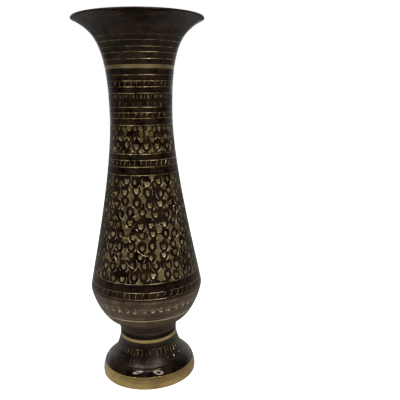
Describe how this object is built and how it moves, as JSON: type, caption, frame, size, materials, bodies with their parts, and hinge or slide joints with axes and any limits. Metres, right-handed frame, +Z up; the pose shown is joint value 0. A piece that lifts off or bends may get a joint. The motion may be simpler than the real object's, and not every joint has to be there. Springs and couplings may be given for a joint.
{
  "type": "engraved brass flower vase",
  "caption": "Tall flower vase with a flared mouth, tapering engraved body, round bowl and hollow pedestal foot, in dark lacquered brass.",
  "frame": {"origin": "centre of the foot's resting circle, on the floor", "axes": "+Z up along the vase's axis; the vase is a body of revolution, so X and Y are free"},
  "size_m": [0.1076, 0.1076, 0.306],
  "materials": {
    "dark_lacquer": "thin near-black lacquer over turned brass, satin to glossy",
    "brown_lacquer": "thin brown-black lacquer over turned brass, satin with lathe lines",
    "bare_brass": "bare dull golden brass, cut or turned bright through the lacquer"
  },
  "bodies": {
    "root": {"mouth_funnel": "dark_lacquer", "upper_body": "dark_lacquer", "lower_bowl": "brown_lacquer", "pedestal_foot": "bare_brass"}
  },
  "joints": []
}
